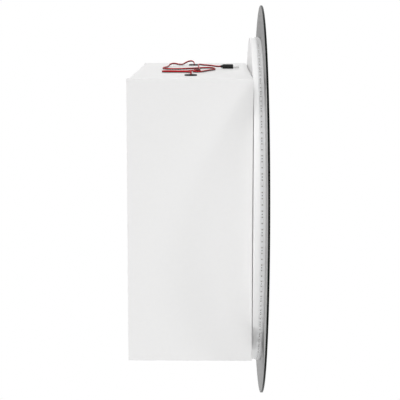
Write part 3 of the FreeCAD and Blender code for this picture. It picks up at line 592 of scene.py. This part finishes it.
def connector_block(low, high, ease):
    """A moulded block of the connector."""
    corners = []
    for pick in ((0, 0, 0), (1, 0, 0), (1, 1, 0), (0, 1, 0), (0, 0, 1), (1, 0, 1), (1, 1, 1), (0, 1, 1)):
        share = [(low, high)[end][i] for i, end in enumerate(pick)]
        size = connector_high - connector_low
        place = [connector_low[i] + size[i] * share[i] for i in range(3)]
        corners.append(connector_shape.verts.new(place))
    sides = ((3, 2, 1, 0), (4, 5, 6, 7), (0, 1, 5, 4), (1, 2, 6, 5), (2, 3, 7, 6), (3, 0, 4, 7))
    faces = [connector_shape.faces.new([corners[i] for i in side]) for side in sides]
    edges = list(dict.fromkeys(edge for face in faces for edge in face.edges))
    bmesh.ops.bevel(
        connector_shape, geom=edges, offset=ease, segments=2, profile=0.5, affect="EDGES"
    )


for block in CONNECTOR_BLOCKS:
    connector_block(*block)
connector_mesh = finish_mesh(connector_shape, "latched_connector", 40)
add_for_node("latched_connector", connector_mesh, "lead_connector")

# Round door: board, edge band and mirror

door_middle = (0, DOOR_BACK, MIDDLE_Z)
door_radius = DOOR_HIGH[0]
band_thickness = door_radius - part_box("door_board")[1][0]
door_thickness = DOOR_BACK - DOOR_FRONT
BAND_EASE = 0.3 * MM
MIRROR_EASE = 0.6 * MM
ROUNDING = 0.3
RIM_STEPS = 360


def eased_rim(inner, outer, thickness, ease):
    """Profile of a disc's or ring's rim with both edges eased, from the back to the front."""
    return [
        (inner, 0),
        (outer - ease, 0),
        (outer - ease * ROUNDING, ease * ROUNDING),
        (outer, ease),
        (outer, thickness - ease),
        (outer - ease * ROUNDING, thickness - ease * ROUNDING),
        (outer - ease, thickness),
        (inner, thickness),
    ]


band_profile = eased_rim(door_radius - band_thickness, door_radius, door_thickness, BAND_EASE)
band_mesh = ring_solid("door_rim_band", band_profile, door_middle, FORWARD, RIM_STEPS)
add_for_node("door_rim_band", band_mesh, "door_edge_band")

mirror_radius = (MIRROR_HIGH[2] - MIRROR_LOW[2]) / 2
mirror_thickness = MIRROR_HIGH[1] - MIRROR_LOW[1]
mirror_profile = eased_rim(0, mirror_radius, mirror_thickness, MIRROR_EASE)
mirror_middle = (0, MIRROR_HIGH[1], MIDDLE_Z)
# Painted back, polished edge and silvered front
MIRROR_BANDS = [0, 1, 1, 1, 1, 1, 2]
mirror_mesh = turned("mirror_plate", mirror_profile, mirror_middle, FORWARD, RIM_STEPS, MIRROR_BANDS)
add_piece(
    "mirror_plate", mirror_mesh, "door", [MIRROR_BACK, GLASS_EDGE, SILVER], ["mirror_glass"]
)

# Two-core leads

LEAD_WIDTH = 2.6 * MM
# One core's radius, its distance from the lead's middle line, and its sides
CORE_RADIUS = 0.275 * LEAD_WIDTH
CORE_OFFSET = 0.235 * LEAD_WIDTH
CORE_SIDES = 12
# Where the red core tends to lie, and how far each step turns towards that
RED_SIDE = Vector((-0.3, 0.0, 0.95))
TURN_BACK = 0.2
LINE_STEPS = 8
LEFT_EXIT = (-130, -87.5, 1.8)
RIGHT_EXIT = (130, -87.5, 1.8)
PLUG_END = (40, -131, 3.5)
# Route of the lead from the left grommet to the plug: X, Y and height above the top board, millimetres
PLUG_ROUTE = [
    LEFT_EXIT,
    (-130, -87.5, 3.8), (-127.6, -87.5, 6.2), (-123, -87.4, 6.4), (-115.5, -87.2, 3.8),
    (-106, -87.0, 1.8), (-92, -88.0, 1.6), (-78, -86.5, 1.6), (-68.5, -79.5, 1.6),
    (-66, -68, 1.6), (-68, -55, 1.6), (-64.5, -45.5, 1.6), (-58.5, -42, 1.6),
    (-52.5, -45, 1.6), (-52, -55, 1.6), (-55, -68, 1.6), (-54.5, -80, 1.6),
    (-49, -90, 2.4), (-38, -97, 2.4), (-22, -99, 3.2), (-3, -97, 5.6),
    (15, -95.5, 7.2), (32, -97.5, 7.0), (45.5, -103.5, 5.4), (50, -113.0, 4.6),
    (46.5, -119.5, 3.9), (41.3, -123, 3.6), (40, -127, 3.5),
    PLUG_END,
]
SPLICE_END = (-49.1, -93.5, 2.4)
# Route of the lead from the right grommet to the splice
BRANCH_ROUTE = [
    RIGHT_EXIT,
    (130, -87.5, 3.8), (132, -85.9, 6.4), (136, -82, 7.2), (136.5, -77, 6.2),
    (131, -71.5, 3.6), (120, -68, 1.8), (110, -62.5, 2.6), (104.5, -54.5, 5.0),
    (95, -48.5, 4.0), (79, -47, 1.8), (60, -45.5, 1.6), (43, -41.5, 1.6),
    (28, -39.5, 1.6), (15, -41, 1.6), (5.5, -46.5, 1.6), (1.5, -56, 1.6),
    (4, -67, 1.6), (10.5, -77, 1.6), (19, -86.5, 1.6), (27, -96, 1.6),
    (35, -104, 1.6), (37.5, -112.5, 1.6), (31, -119, 1.6), (19, -121.5, 1.6),
    (4, -122.5, 1.6), (-10, -121, 1.6), (-21.5, -116.8, 1.6), (-33, -111, 1.6),
    (-46, -107.5, 1.6), (-57.5, -104, 1.6), (-65.5, -98.5, 1.6), (-66, -91.5, 1.6),
    (-60.5, -88.7, 2), (-54.2, -90.25, 2.4),
    SPLICE_END,
]


def above_top(route):
    """Route points over the top board, in metres of the frame."""
    return [Vector((x * MM, y * MM, TOP_Z + height * MM)) for x, y, height in route]


def smooth_line(name, points):
    """Points along the smooth line that a route gives."""
    curve = bpy.data.curves.new(name, "CURVE")
    curve.dimensions = "3D"
    curve.resolution_u = LINE_STEPS
    spline = curve.splines.new("NURBS")
    spline.points.add(len(points) - 1)
    for point, place in zip(spline.points, points):
        point.co = (*place, 1)
    spline.order_u = 3
    spline.use_endpoint_u = True
    holder = bpy.data.objects.new(name, curve)
    bpy.context.collection.objects.link(holder)
    graph = bpy.context.evaluated_depsgraph_get()
    mesh = bpy.data.meshes.new_from_object(holder.evaluated_get(graph))
    line = [vertex.co.copy() for vertex in mesh.vertices]
    bpy.data.objects.remove(holder)
    bpy.data.curves.remove(curve)
    bpy.data.meshes.remove(mesh)
    return line


def two_core(name, line):
    """A flat pair of insulated wires along a line, with the red one kept above the black one."""
    shape = bmesh.new()
    tangents = []
    for index in range(len(line)):
        before = line[max(index - 1, 0)]
        after = line[min(index + 1, len(line) - 1)]
        tangents.append((after - before).normalized())
    across = RED_SIDE
    frames = []
    for place, tangent in zip(line, tangents):
        wanted = (RED_SIDE - tangent * RED_SIDE.dot(tangent)).normalized()
        carried = (across - tangent * across.dot(tangent)).normalized()
        across = (carried * (1 - TURN_BACK) + wanted * TURN_BACK).normalized()
        frames.append((place, across, tangent.cross(across)))
    for material, sign in ((0, 1), (1, -1)):
        rings = []
        for place, across, up in frames:
            middle = place + across * CORE_OFFSET * sign
            ring = []
            for step in range(CORE_SIDES):
                turn = 2 * math.pi * step / CORE_SIDES
                out = across * math.cos(turn) + up * math.sin(turn)
                ring.append(shape.verts.new(middle + out * CORE_RADIUS))
            rings.append(ring)
        skin(shape, rings, [material] * len(rings))
        for ring in (rings[0], rings[-1]):
            shape.faces.new(ring).material_index = material
    return finish_mesh(shape, name, 60)


plug_line = smooth_line("plug_route", above_top(PLUG_ROUTE))
branch_line = smooth_line("branch_route", above_top(BRANCH_ROUTE))
plug_flex_mesh = two_core("plug_flex", plug_line)
plug_flex = add_piece(
    "plug_flex", plug_flex_mesh, "cabinet", [RED, BLACK], ["plug_lead"]
)
branch_flex_mesh = two_core("branch_flex", branch_line)
branch_flex = add_piece(
    "branch_flex", branch_flex_mesh, "cabinet", [RED, BLACK], ["branch_lead"]
)

# Leads inside the cabinet, and the lead that crosses to the door: X, Y and Z, millimetres
LEFT_INNER_ROUTE = [
    (-130, -87.5, 46.8), (-130, -87.5, 28.2), (-127, -87.7, 24.6), (-118, -89.5, 24), (-97, -95, 24),
    (-62, -105, 24), (-22, -114.5, 24), (20, -119.5, 24), (58, -120.5, 24), (95, -119.5, 24),
    (123, -120, 24), (142, -120, 24),
]
RIGHT_INNER_ROUTE = [
    (130, -87.5, 46.8), (130, -87.5, 28.2), (133, -87.7, 24.6), (140.5, -90, 24), (148.3, -96, 24),
    (151, -105, 24), (151, -114, 24),
]
DOOR_ROUTE = [
    (160, -120, 24), (167, -120, 24), (174, -125, 24.2), (174, -134, 24.5), (165, -141, 24.5),
    (155, -147, 24.6), (152, -156, 24.8), (159, -163.5, 25), (169, -167, 25.4), (177, -173, 26),
    (181, -180, 26.6), (181.4, -186.3, 26.4), (177, -186.3, 22),
]


def metres(route):
    """Route points in metres of the frame."""
    return [Vector(point) * MM for point in route]


INNER_ROUTES = {"left_inner_lead": LEFT_INNER_ROUTE, "right_inner_lead": RIGHT_INNER_ROUTE}
for inner_node, inner_route in INNER_ROUTES.items():
    inner_name = inner_node.replace("lead", "flex")
    inner_mesh = two_core(inner_name, smooth_line(inner_name, metres(inner_route)))
    add_piece(inner_name, inner_mesh, "cabinet", [RED, BLACK], [inner_node])
door_line = smooth_line("door_route", metres(DOOR_ROUTE))
door_mesh = two_core("door_flex", door_line)
for material in (RED, BLACK):
    door_mesh.materials.append(material)
door_flex = bpy.data.objects.new("door_flex", door_mesh)
bpy.context.collection.objects.link(door_flex)
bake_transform(door_flex)
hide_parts("door_lead")

# Grommets with rounded lips
GROMMET_PROFILE = [
    (1.6, 0), (6.6, 0), (7, 0.4), (7, 15), (9, 15), (9, 16.2), (8.85, 16.5), (8.5, 16.73), (8, 16.8),
    (3.4, 16.8), (2.6, 16.65), (2, 16.3), (1.6, 15.6),
]
for grommet in ("left_grommet", "right_grommet"):
    low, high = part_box(grommet)
    seat = ((low[0] + high[0]) / 2, (low[1] + high[1]) / 2, low[2])
    mesh = ring_solid(grommet + "_moulded", scaled(GROMMET_PROFILE), seat, UPWARD, ROUND_STEPS)
    add_piece(grommet + "_moulded", mesh, "cabinet", [FINISH["black_rubber"]], [grommet])

# Plug: a moulded body with a ribbed grip and a stepped strain relief, and a plated barrel
PLUG_PROFILE = [
    (0, 0), (1.9, 0), (2.2, 0.3), (2.2, 1), (1.85, 1.15), (1.85, 1.5), (2.5, 1.65), (2.5, 2.3),
    (2.15, 2.45), (2.15, 2.8), (2.8, 2.95), (3.15, 3.3), (3.4, 4), (3.5, 5), (3.5, 7.2), (3.5, 13.2),
    (3.5, 13.6), (3.5, 18.7), (3.35, 19.5), (2.95, 20), (0, 20),
]
PLUG_RIBS = (14, 15)
plug_low, plug_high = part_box("dc_plug_body")
plug_start = ((plug_low[0] + plug_high[0]) / 2, plug_high[1], (plug_low[2] + plug_high[2]) / 2)
plug_mesh = turned(
    "plug_moulded", scaled(PLUG_PROFILE), plug_start, FORWARD, ROUND_STEPS, ribs=PLUG_RIBS
)
plug_body = add_piece(
    "plug_moulded", plug_mesh, "cabinet", [FINISH["black_plastic"]], ["dc_plug_body"]
)
BARREL_PROFILE = [
    (1.05, 0), (2.75, 0), (2.75, 9), (2.68, 9.3), (2.45, 9.5), (1.75, 9.5), (1.75, 9.2), (1.2, 9.2),
    (1.05, 9),
]
# Plated outside and dark insulation inside
BARREL_BANDS = [0, 0, 0, 0, 0, 1, 1, 1, 1]
barrel_start = (plug_start[0], plug_low[1], plug_start[2])
barrel_mesh = ring_solid(
    "plug_barrel", scaled(BARREL_PROFILE), barrel_start, FORWARD, ROUND_STEPS, BARREL_BANDS
)
plug_barrel = add_piece(
    "plug_barrel", barrel_mesh, "cabinet", [FINISH["nickel"], FINISH["black_plastic"]],
    ["dc_plug_barrel"],
)

# Heat-shrink sleeve over the splice: an oval tube that closes in on its ends
SLEEVE_START = Vector((-49.1, -93.5, 47.4)) * MM
SLEEVE_AXIS = Vector((11, -7, 0)).normalized()
# Distance along the sleeve, millimetres, and share of its full radius there
SLEEVE_SECTIONS = [
    (0, 0.66), (0.5, 0.82), (1.3, 0.93), (2.4, 1), (5.5, 0.97), (8.6, 1), (9.7, 0.93), (10.5, 0.82),
    (11, 0.66),
]
SLEEVE_RADIUS = 2.1
SLEEVE_HALF_FLAT = 1.6
SLEEVE_SIDES = 32
sleeve_across = SLEEVE_AXIS.cross(Vector(UPWARD))
sleeve_middle = SLEEVE_START - sleeve_across * SLEEVE_HALF_FLAT * MM
sleeve_shape = bmesh.new()
sleeve_rings = []
for along, share in SLEEVE_SECTIONS:
    ring = []
    for step in range(SLEEVE_SIDES):
        turn = 2 * math.pi * (step + 0.5) / SLEEVE_SIDES
        radius = SLEEVE_RADIUS * share
        wide = math.copysign(SLEEVE_HALF_FLAT, math.cos(turn)) + radius * math.cos(turn)
        tall = radius * math.sin(turn)
        place = sleeve_middle + SLEEVE_AXIS * along * MM + sleeve_across * wide * MM
        ring.append(sleeve_shape.verts.new(place + Vector((0, 0, tall * MM))))
    sleeve_rings.append(ring)
skin(sleeve_shape, sleeve_rings)
for ring in (sleeve_rings[0], sleeve_rings[-1]):
    sleeve_shape.faces.new(ring)
sleeve = add_piece(
    "splice_shrink", finish_mesh(sleeve_shape, "splice_shrink"), "cabinet",
    [SHRINK], ["splice_sleeve"],
)

# Light strip: two half rings of board with pads, packages and chip resistors
STRIP_LOW, STRIP_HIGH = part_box("first_led_strip")
STRIP_MIDDLE = (STRIP_LOW[1] + STRIP_HIGH[1]) / 2
STRIP_HALF = (STRIP_HIGH[1] - STRIP_LOW[1]) / 2
STRIP_BASE = door_radius + 0.1 * MM
STRIP_OUTER = STRIP_BASE + 0.3 * MM
STRIP_STEPS = 200
FEED = math.radians(45)
# Each half ring stops a little short of the other
STRIP_GAP = math.radians(0.5)
STRIP_TURN = math.radians(179)
LEDS_PER_HALF = 94
LED_STEP = math.pi / LEDS_PER_HALF
# One resistor and one line of cut pads for every three LEDs
GROUP = 3
# Small blocks: half length, half width and height of each level, millimetres
PACKAGE = [(1.4, 1.75, 0), (1.4, 1.75, 0.12), (1.34, 1.7, 0.8), (0.8, 0.95, 0.8), (0.7, 0.85, 0.62)]
SOLDER = [(0.9, 0.55, -0.05), (0.9, 0.55, 0.05), (0.7, 0.4, 0.16)]
RESISTOR = [(0.68, 0.6, 0), (0.68, 0.6, 0.46)]
RESISTOR_END = [(0.17, 0.62, 0), (0.17, 0.62, 0.5)]
CUT_PAD = [(0.85, 0.8, -0.05), (0.85, 0.8, 0.03)]
SOLDER_OFFSET = 2.05 * MM
RESISTOR_END_OFFSET = 0.83 * MM
CUT_PAD_OFFSET = 1.7 * MM
CUT_PAD_TURN = 0.0042


def rim_frame(angle, radius, offset=0.0):
    """Place and axes on the rim: along the rim, along Y and outwards."""
    out = Vector((math.cos(angle), 0, math.sin(angle)))
    along = Vector((-math.sin(angle), 0, math.cos(angle)))
    place = Vector((0, STRIP_MIDDLE + offset, MIDDLE_Z)) + out * radius
    frame_matrix = Matrix((along, Vector((0, 1, 0)), out)).transposed().to_4x4()
    return Matrix.Translation(place) @ frame_matrix


def stepped_solid(shape, matrix, levels, materials):
    """A block of stacked rectangles, with a material for each level."""
    rings = []
    for half_length, half_width, height in levels:
        corners = ((-1, -1), (1, -1), (1, 1), (-1, 1))
        rings.append([
            shape.verts.new(matrix @ Vector((half_length * x * MM, half_width * y * MM, height * MM)))
            for x, y in corners
        ])
    shape.faces.new(list(reversed(rings[0]))).material_index = materials[0]
    skin(shape, rings, materials)
    shape.faces.new(rings[-1]).material_index = materials[-1]


strip_shape = bmesh.new()
for half in (0, math.pi):
    sections = []
    for step in range(STRIP_STEPS + 1):
        angle = FEED + half + STRIP_GAP + STRIP_TURN * step / STRIP_STEPS
        out = Vector((math.cos(angle), 0, math.sin(angle)))
        section = []
        for radius, side in ((STRIP_BASE, -1), (STRIP_OUTER, -1), (STRIP_OUTER, 1), (STRIP_BASE, 1)):
            place = Vector((0, STRIP_MIDDLE + side * STRIP_HALF, MIDDLE_Z)) + out * radius
            section.append(strip_shape.verts.new(place))
        sections.append(section)
    skin(strip_shape, sections)
    strip_shape.faces.new(sections[0])
    strip_shape.faces.new(sections[-1])
package_shape = bmesh.new()
resistor_shape = bmesh.new()
for half in (0, math.pi):
    for index in range(LEDS_PER_HALF):
        angle = FEED + half + LED_STEP * (index + 0.5)
        stepped_solid(package_shape, rim_frame(angle, STRIP_OUTER), PACKAGE, [0, 0, 0, 0, 1])
        for side in (-1, 1):
            pad = rim_frame(angle, STRIP_OUTER, side * SOLDER_OFFSET)
            stepped_solid(strip_shape, pad, SOLDER, [1, 1, 1])
        if index % GROUP == 1:
            seat = rim_frame(angle + LED_STEP / 2, STRIP_OUTER)
            stepped_solid(resistor_shape, seat, RESISTOR, [0, 0])
            for side in (-1, 1):
                end = seat @ Matrix.Translation((side * RESISTOR_END_OFFSET, 0, 0))
                stepped_solid(resistor_shape, end, RESISTOR_END, [1, 1])
        if index % GROUP == 0 and index:
            cut_angle = FEED + half + LED_STEP * index
            for side in (-1, 1):
                for turn in (-1, 1):
                    pad_angle = cut_angle + turn * CUT_PAD_TURN
                    pad = rim_frame(pad_angle, STRIP_OUTER, side * CUT_PAD_OFFSET)
                    stepped_solid(strip_shape, pad, CUT_PAD, [1, 1])
strip_mesh = finish_mesh(strip_shape, "led_strip_board")
add_piece(
    "led_strip_board", strip_mesh, "door", [FINISH["led_board"], TINNED],
    ["first_led_strip", "second_led_strip"],
)
add_piece(
    "led_packages", finish_mesh(package_shape, "led_packages"), "door",
    [FINISH["led_package"], PHOSPHOR], ["led_chips"],
)
add_piece(
    "strip_resistors", finish_mesh(resistor_shape, "strip_resistors"), "door",
    [FINISH["resistor"], TINNED], ["led_resistors"],
)

# Stage: floor, light and camera

def stage_material(name, colour, glow):
    """A pale matte surface that looks white where it is lit, and darker in a shadow."""
    material = bpy.data.materials.new(name)
    material.use_nodes = True
    tree = material.node_tree
    tree.nodes.clear()
    output = tree.nodes.new("ShaderNodeOutputMaterial")
    both = tree.nodes.new("ShaderNodeAddShader")
    matte = tree.nodes.new("ShaderNodeBsdfDiffuse")
    matte.inputs["Color"].default_value = (*colour, 1)
    glowing = tree.nodes.new("ShaderNodeEmission")
    strength = tree.nodes.new("ShaderNodeMath")
    strength.operation = "MULTIPLY"
    strength.inputs[1].default_value = glow
    tree.links.new(seen_directly(tree), strength.inputs[0])
    tree.links.new(strength.outputs["Value"], glowing.inputs["Strength"])
    tree.links.new(matte.outputs["BSDF"], both.inputs[0])
    tree.links.new(glowing.outputs["Emission"], both.inputs[1])
    tree.links.new(both.outputs["Shader"], output.inputs["Surface"])
    return material


def seen_directly(tree):
    """One for camera, glossy and transmitted rays, and zero for the light that falls on surfaces."""
    path = tree.nodes.new("ShaderNodeLightPath")
    total = path.outputs["Is Camera Ray"]
    for name in ("Is Glossy Ray", "Is Transmission Ray"):
        either = tree.nodes.new("ShaderNodeMath")
        either.operation = "MAXIMUM"
        tree.links.new(total, either.inputs[0])
        tree.links.new(path.outputs[name], either.inputs[1])
        total = either.outputs["Value"]
    return total


# The floor lies well below the cabinet, which hangs on a wall
FLOOR_GREY = 0.8
FLOOR_GLOW = 0.32
FLOOR_DROP = 1.6
FLOOR_CORNERS = ((-1.5, -0.5), (0.6, -0.5), (0.6, 1.0), (-1.5, 1.0))
floor_shape = bmesh.new()
floor_shape.faces.new([floor_shape.verts.new((*corner, 0)) for corner in FLOOR_CORNERS])
floor_mesh = bpy.data.meshes.new("floor")
floor_shape.to_mesh(floor_mesh)
floor_shape.free()
floor = bpy.data.objects.new("floor", floor_mesh)
floor.location = (0, 0, MIRROR_LOW[2] - FLOOR_DROP)
floor_mesh.materials.append(stage_material("floor", grey(FLOOR_GREY), FLOOR_GLOW))
bpy.context.collection.objects.link(floor)

AMBIENT = 0.26
world = bpy.data.worlds.new("studio")
bpy.context.scene.world = world
world.use_nodes = True
world_tree = world.node_tree
world_tree.nodes.clear()
surroundings = world_tree.nodes.new("ShaderNodeOutputWorld")
choice = world_tree.nodes.new("ShaderNodeMixShader")
light_part = world_tree.nodes.new("ShaderNodeBackground")
light_part.inputs["Strength"].default_value = AMBIENT
seen_part = world_tree.nodes.new("ShaderNodeBackground")
for part in (light_part, seen_part):
    part.inputs["Color"].default_value = (1, 1, 1, 1)
world_tree.links.new(seen_directly(world_tree), choice.inputs["Fac"])
world_tree.links.new(light_part.outputs["Background"], choice.inputs[1])
world_tree.links.new(seen_part.outputs["Background"], choice.inputs[2])
world_tree.links.new(choice.outputs["Shader"], surroundings.inputs["Surface"])


def soft_lamp(name, towards_lamp, strength, spread_degrees=45):
    """An even, soft light from one side, like a large lamp far away."""
    lamp = bpy.data.lights.new(name, "SUN")
    lamp.energy = strength
    lamp.angle = math.radians(spread_degrees)
    holder = bpy.data.objects.new(name, lamp)
    holder.rotation_mode = "QUATERNION"
    holder.rotation_quaternion = (-Vector(towards_lamp)).to_track_quat("-Z", "Y")
    holder.visible_glossy = False
    bpy.context.collection.objects.link(holder)


# Direction to each lamp, strength and spread
soft_lamp("key", (-0.9, 0.01, 0.35), 1.53, 10)
soft_lamp("near_side", (-0.9, -0.5, -0.15), 0.37, 24)
soft_lamp("front", (-0.62, -0.8, 0.48), 0.35, 12)
soft_lamp("back", (0.0, 0.9, 0.0), 1.12, 20)
soft_lamp("low_back", (-0.3, 0.87, -0.42), 0.7, 12)
soft_lamp("top", (-0.05, 0.0, 1), 1.3)
soft_lamp("far_side", (0.95, -0.25, -0.05), 1.85)

# The camera stands on the left of the cabinet, a little above it
CAMERA_PLACE = Vector((-1.7083, -0.1231, 0.1491))
CAMERA_YAW = math.radians(0.813)
CAMERA_PITCH = math.radians(-6.92)
CAMERA_LENS = 98.885
SENSOR_WIDTH = 36.0
CAMERA_SHIFT = -0.16
camera_data = bpy.data.cameras.new("camera")
camera_data.lens = CAMERA_LENS
camera_data.sensor_width = SENSOR_WIDTH
camera_data.shift_y = CAMERA_SHIFT
camera = bpy.data.objects.new("camera", camera_data)
camera.location = CAMERA_PLACE
looking = Vector((
    math.cos(CAMERA_PITCH) * math.cos(CAMERA_YAW),
    math.cos(CAMERA_PITCH) * math.sin(CAMERA_YAW),
    math.sin(CAMERA_PITCH),
))
camera.rotation_mode = "QUATERNION"
camera.rotation_quaternion = looking.to_track_quat("-Z", "Y")
bpy.context.collection.objects.link(camera)
bpy.context.scene.camera = camera
bpy.context.scene.view_settings.view_transform = "Standard"
